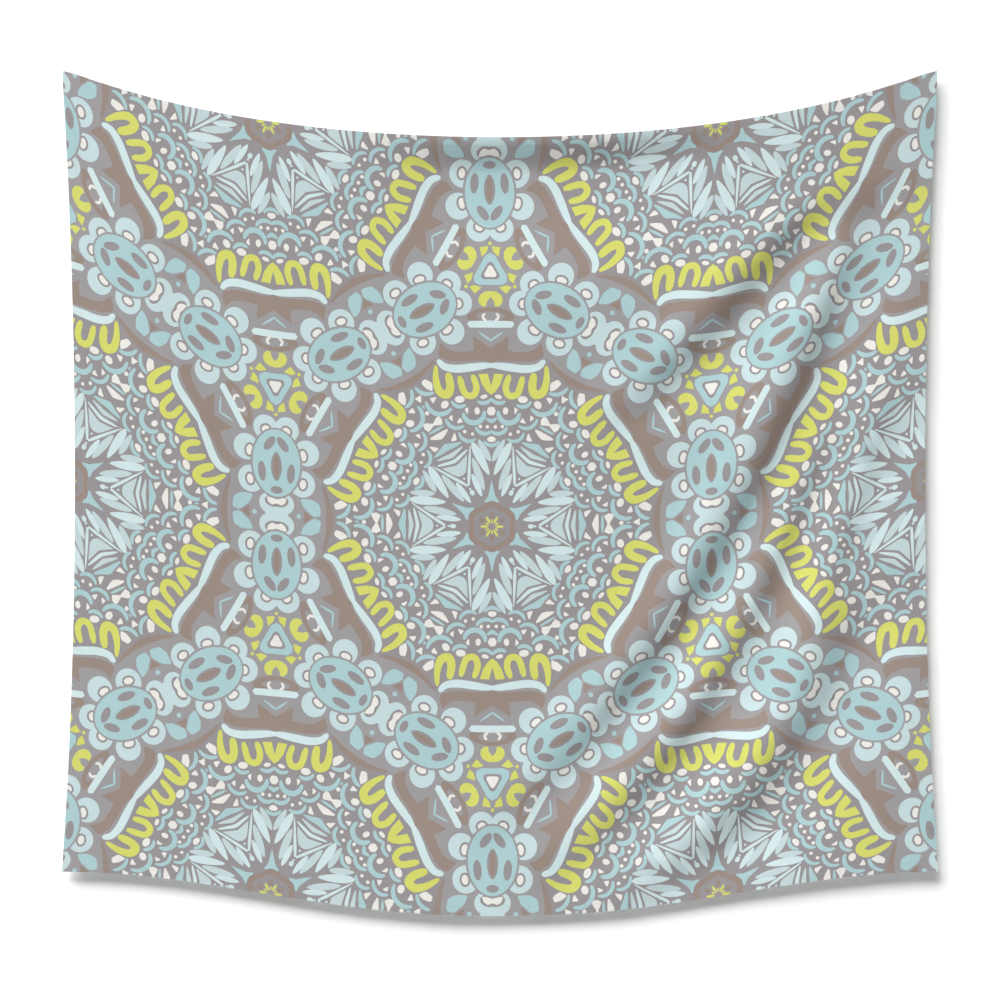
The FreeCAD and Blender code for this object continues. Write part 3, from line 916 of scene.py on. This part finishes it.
CORD_RADIUS = 0.001
STRAND_RADIUS = 0.00054
STRAND_OFFSET = 0.00048
CORD_TWIST = 0.0046      # length of one turn of the strands
HEM_BACK = CLOTH_Y + CLOTH_THICKNESS / 2 + 2 * HEM_THICKNESS
LOOP_Y = -0.007
LOOP_TOP = 0.00405
LOOP_HALF_WIDTH = 0.0064
LOOP_ELBOW_Z = -0.00435
LEG_HALF_GAP = 0.0013
LEG_FOOT_Z = -0.015
LEG_END_Z = -0.024
LEG_Y = HEM_BACK + CORD_RADIUS
CORD_UP = (0.0, 1.0, 0.12)
CORD_STEP = 0.00045
TACK_THREADS = 11
TACK_THREAD_RADIUS = 0.00021
TACK_SINK = 0.0003       # how deep a tack's threads start in the hem
TACK_CLEARANCE = 0.0002
TACK_SLANT = 0.00012
TACK_UNEVEN = 0.03       # how much a thread's length changes either way, as a share of the longest
TACK_SQUARE = 3.2        # power of the threads' path over the legs: higher is flatter on top


def smooth_line(points):
    """Points of the NURBS curve that the given ones control."""
    curve = bpy.data.curves.new("route", "CURVE")
    curve.dimensions = "3D"
    curve.resolution_u = 24
    spline = curve.splines.new("NURBS")
    spline.points.add(len(points) - 1)
    for control, point in zip(spline.points, points):
        control.co = (*point, 1)
    spline.order_u = 3
    spline.use_endpoint_u = True
    holder = bpy.data.objects.new("route", curve)
    mesh = bpy.data.meshes.new_from_object(holder)
    line = np.array([tuple(vertex.co) for vertex in mesh.vertices])
    bpy.data.objects.remove(holder)
    bpy.data.curves.remove(curve)
    bpy.data.meshes.remove(mesh)
    return line


def twisted_cord(line):
    """Three strands wound round a line."""
    steps = np.linalg.norm(np.diff(line, axis=0), axis=1)
    run = np.concatenate([[0], np.cumsum(steps)])
    spots = np.linspace(0, run[-1], int(run[-1] / CORD_STEP))
    line = np.stack([np.interp(spots, run, line[:, axis]) for axis in range(3)], axis=-1)
    first, second = across_route(line, CORD_UP)
    parts = []
    for strand in range(3):
        angle = 2 * PI * (spots / CORD_TWIST + strand / 3)
        route = line + STRAND_OFFSET * (np.cos(angle)[:, None] * first + np.sin(angle)[:, None] * second)
        parts.append(tube(route, np.full(len(route), STRAND_RADIUS), 7, CORD_UP))
    return joined(parts)


def satin_tack(centre_x, low, high):
    """Close threads laid over both legs of a loop."""
    parts = []
    for index in range(TACK_THREADS):
        z = low[2] + (high[2] - low[2]) * (index + 0.5) / TACK_THREADS
        half = (high[0] - low[0]) / 2 * (1 - TACK_UNEVEN + TACK_UNEVEN * math.sin(index * 2.4))
        share = np.linspace(-1, 1, 11)
        reach = LEG_Y + CORD_RADIUS + TACK_CLEARANCE - HEM_BACK
        y = HEM_BACK - TACK_SINK + (reach + TACK_SINK) * (1 - np.abs(share) ** TACK_SQUARE)
        route = np.stack([centre_x + share * half, y, z + TACK_SLANT * share], axis=-1)
        parts.append(tube(route, np.full(len(route), TACK_THREAD_RADIUS), 6))
    return joined(parts)


for side, sign in (("left", -1), ("right", 1)):
    pin_low, pin_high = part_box(f"pin_needle_{side}")
    pin_x = (pin_low[0] + pin_high[0]) / 2
    leg = [
        (LEG_HALF_GAP, LEG_Y, LEG_END_Z),
        (LEG_HALF_GAP, LEG_Y, LEG_FOOT_Z),
        (LOOP_HALF_WIDTH, LOOP_Y, LOOP_ELBOW_Z),
        (LOOP_HALF_WIDTH, LOOP_Y, LOOP_TOP),
    ]
    route = [(pin_x + x, y, z) for x, y, z in leg] + [(pin_x - x, y, z) for x, y, z in leg[::-1]]
    points, faces = twisted_cord(smooth_line(route))
    loop = make_object(f"corner_loop_{side}", points, faces, [CORD])
    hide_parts(f"cord_loop_{side}")
    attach(loop, "cloth")
    points, faces = satin_tack(pin_x, *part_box(f"bar_tack_{side}"))
    tack = make_object(f"satin_tack_{side}", points, faces, [THREAD])
    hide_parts(f"bar_tack_{side}")
    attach(tack, "cloth")


# ---- Push pins ----

def plastic_material():
    material, nodes, links, shader = new_material("clear_plastic")
    set_inputs(shader, {"Base Color": (0.93, 0.96, 0.97, 1), "Transmission Weight": 0.92, "IOR": 1.49})
    scuffs = nodes.new("ShaderNodeTexNoise")
    set_inputs(scuffs, {"Scale": 900, "Detail": 4})
    add_roughness(nodes, links, shader, scuffs.outputs["Fac"], 0.04, 0.16)
    return material


def steel_material():
    material, nodes, links, shader = new_material("needle_steel")
    set_inputs(shader, {"Base Color": (0.62, 0.62, 0.63, 1), "Metallic": 1.0})
    place = nodes.new("ShaderNodeTexCoord")
    rings = ridges(nodes, "Y", 1500, 2)
    links.new(place.outputs["Object"], rings.inputs["Vector"])
    add_roughness(nodes, links, shader, rings.outputs["Fac"], 0.18, 0.34)
    return material


PLASTIC = plastic_material()
STEEL = steel_material()
for side in ("left", "right"):
    for node, material in ((f"pin_head_{side}", PLASTIC), (f"pin_needle_{side}", STEEL)):
        for material_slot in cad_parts[node].material_slots:
            material_slot.material = material


# ---- Care label ----

LABEL_THICKNESS = 0.00025
LABEL_CURL = 0.0022      # how far the free end has curled towards the wall
LABEL_CURL_POWER = 2.2
LABEL_CUP = 0.0004       # how much further that way its long edges lie there
SEAM_LOW_GAP = 0.002     # label left below and above the seam on its tail
SEAM_HIGH_GAP = 0.001


def ribbon_material():
    material, nodes, links, shader = new_material("label_ribbon")
    flat = nodes.new("ShaderNodeUVMap")
    flat.uv_map = "flat"
    ribs = ridges(nodes, "X", 700, 0.4)
    links.new(flat.outputs["UV"], ribs.inputs["Vector"])
    add_bump(nodes, links, shader, ribs.outputs["Fac"], 0.35, 0.0001)
    add_roughness(nodes, links, shader, ribs.outputs["Fac"], 0.3, 0.5)
    set_inputs(shader, {"Base Color": linear((240, 239, 235)), "Sheen Weight": 0.2})
    return material


def care_label():
    """Blank ribbon sewn to the left hem by its tail, with a flap that lies on the cloth's back."""
    tail_low, tail_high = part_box("label_tail")
    flap_low, flap_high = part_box("care_label")
    columns, rows = 56, 20
    xs = np.linspace(tail_low[0], flap_high[0], columns + 1)
    zs = np.linspace(flap_low[2], flap_high[2], rows + 1)
    grid_x, grid_z = np.meshgrid(xs, zs, indexing="ij")
    free = np.clip((grid_x - flap_low[0]) / (flap_high[0] - flap_low[0]), 0, 1)
    width_share = (grid_z - zs.mean()) / (zs[-1] - zs[0]) * 2
    y = flap_low[1] + LABEL_CURL * free ** LABEL_CURL_POWER + LABEL_CUP * free * width_share ** 2
    layers = [np.stack([grid_x, y + lift, grid_z], axis=-1).reshape(-1, 3) for lift in (0, LABEL_THICKNESS)]
    points = np.concatenate(layers)
    count = (columns + 1) * (rows + 1)
    index = np.arange(count).reshape(columns + 1, rows + 1)
    faces = []
    for a in index[:-1, :-1].ravel():
        quad = np.array([a, a + rows + 1, a + rows + 2, a + 1])
        faces += [quad, quad[::-1] + count]
    rim = [*index[:, 0], *index[-1, 1:], *index[-2::-1, -1], *index[0, -2:0:-1]]
    for here, there in zip(rim, rim[1:] + rim[:1]):
        faces.append((there, here, here + count, there + count))
    flat = np.column_stack([points[:, 0] - tail_low[0], points[:, 2] - flap_low[2]])
    label = make_object("ribbon_label", points, faces, [ribbon_material()], flat=flat)
    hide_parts("care_label", "label_tail")
    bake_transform(label)
    stitch_x = (tail_low[0] + tail_high[0]) / 2
    parts = []
    for z in np.arange(flap_low[2] + SEAM_LOW_GAP, flap_high[2] - SEAM_HIGH_GAP, STITCH_PITCH):
        share = np.linspace(-0.5, 0.5, 5)
        dip = STITCH_RADIUS * np.array([-1.0, 0.2, 0.5, 0.2, -1.0])
        y = flap_low[1] + LABEL_THICKNESS + dip
        route = np.stack([np.full(5, stitch_x), y, z + STITCH_PITCH / 2 + share * STITCH_LENGTH], axis=-1)
        parts.append(tube(route, STITCH_RADIUS * STITCH_TAPER, 6, (1.0, 0.0, 0.0)))
    seam = make_object("label_stitches", *joined(parts), [THREAD])
    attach(seam, "cloth")


care_label()


# ---- Stage, light and camera ----

def mixed(nodes, links, factor, *shaders):
    mix = nodes.new("ShaderNodeMixShader")
    links.new(factor, mix.inputs["Fac"])
    for place, shader in enumerate(shaders, 1):
        links.new(shader.outputs[0], mix.inputs[place])
    return mix.outputs["Shader"]


def stage_material(name, lightness, one_sided):
    material, nodes, links, shader = new_material(name)
    set_inputs(shader, {"Base Color": (lightness, lightness, lightness, 1), "Roughness": 0.95})
    shader.inputs["Specular IOR Level"].default_value = 0.0
    if one_sided:  # hidden from behind, and open to the light that falls on the cloth's back
        side = nodes.new("ShaderNodeNewGeometry")
        ray = nodes.new("ShaderNodeLightPath")
        clear = nodes.new("ShaderNodeBsdfTransparent")
        either = combined(nodes, links, "MAXIMUM", side.outputs["Backfacing"], ray.outputs["Is Shadow Ray"])
        surface = mixed(nodes, links, either, shader, clear)
        links.new(surface, nodes["Material Output"].inputs["Surface"])
    return material


def stage_plane(name, corners, material):
    mesh = bpy.data.meshes.new(name)
    mesh.from_pydata(corners, [], [(0, 1, 2, 3)])
    mesh.materials.append(material)
    obj = add_object(name, mesh)


FLOOR_Z = PANEL_LOW[2] - 1.2
FLOOR_HALF = 3.0
WALL_TOP = 2.5
WALL_ENDS = (FLOOR_Z, WALL_TOP)
AROUND = ((0, 0), (1, 0), (1, 1), (0, 1))   # corners of a square, counter-clockwise
stage_plane(
    "wall",
    [((2 * a - 1) * FLOOR_HALF, 0, WALL_ENDS[b]) for a, b in AROUND],
    stage_material("wall_paint", 0.98, True),
)
stage_plane(
    "floor",
    [((2 * a - 1) * FLOOR_HALF, (2 * b - 1) * FLOOR_HALF, FLOOR_Z) for a, b in AROUND],
    stage_material("floor_paint", 0.35, False),
)


def add_light(name, kind, energy, direction):
    """A light that comes from the given direction."""
    data = bpy.data.lights.new(name, kind)
    data.energy = energy
    light = add_object(name, data)
    light.rotation_euler = Vector(direction).to_track_quat("Z", "Y").to_euler()
    return light


add_light("key", "SUN", 5.6, (-0.32, -0.41, 0.85)).data.angle = math.radians(45)
add_light("back_fill", "SUN", 1.1, (0.4, 0.9, 0.5)).data.angle = math.radians(60)
side_place = Vector((-4.0, -2.6, 2.6))
panel_middle = Vector((0, 0, (PANEL_LOW[2] + PANEL_HIGH[2]) / 2))
side_light = add_light("side", "AREA", 135, side_place - panel_middle)
side_light.location = side_place
side_light.data.size = 2.0
world = bpy.data.worlds.new("studio")
world.use_nodes = True
nodes, links = world.node_tree.nodes, world.node_tree.links
fill = nodes["Background"]
set_inputs(fill, {"Color": (1, 1, 1, 1), "Strength": 0.20})
backdrop = nodes.new("ShaderNodeBackground")
backdrop.inputs["Color"].default_value = (1, 1, 1, 1)
path = nodes.new("ShaderNodeLightPath")
seen = mixed(nodes, links, path.outputs["Is Camera Ray"], fill, backdrop)
links.new(seen, nodes["World Output"].inputs["Surface"])
bpy.context.scene.world = world
bpy.context.scene.view_settings.view_transform = "Standard"

CAMERA_DISTANCE = 6.0
VIEW_WIDTH = 1.689       # width of the wall that the picture takes in
VIEW_CENTRE_Z = -0.713
camera_data = bpy.data.cameras.new("camera")
camera_data.sensor_width = 36
camera_data.lens = 36 * (CAMERA_DISTANCE + CLOTH_Y) / VIEW_WIDTH
camera_data.clip_end = 50
camera = add_object("camera", camera_data)
camera.location = (0, -CAMERA_DISTANCE, VIEW_CENTRE_Z)
camera.rotation_euler = (PI / 2, 0, 0)
bpy.context.scene.camera = camera
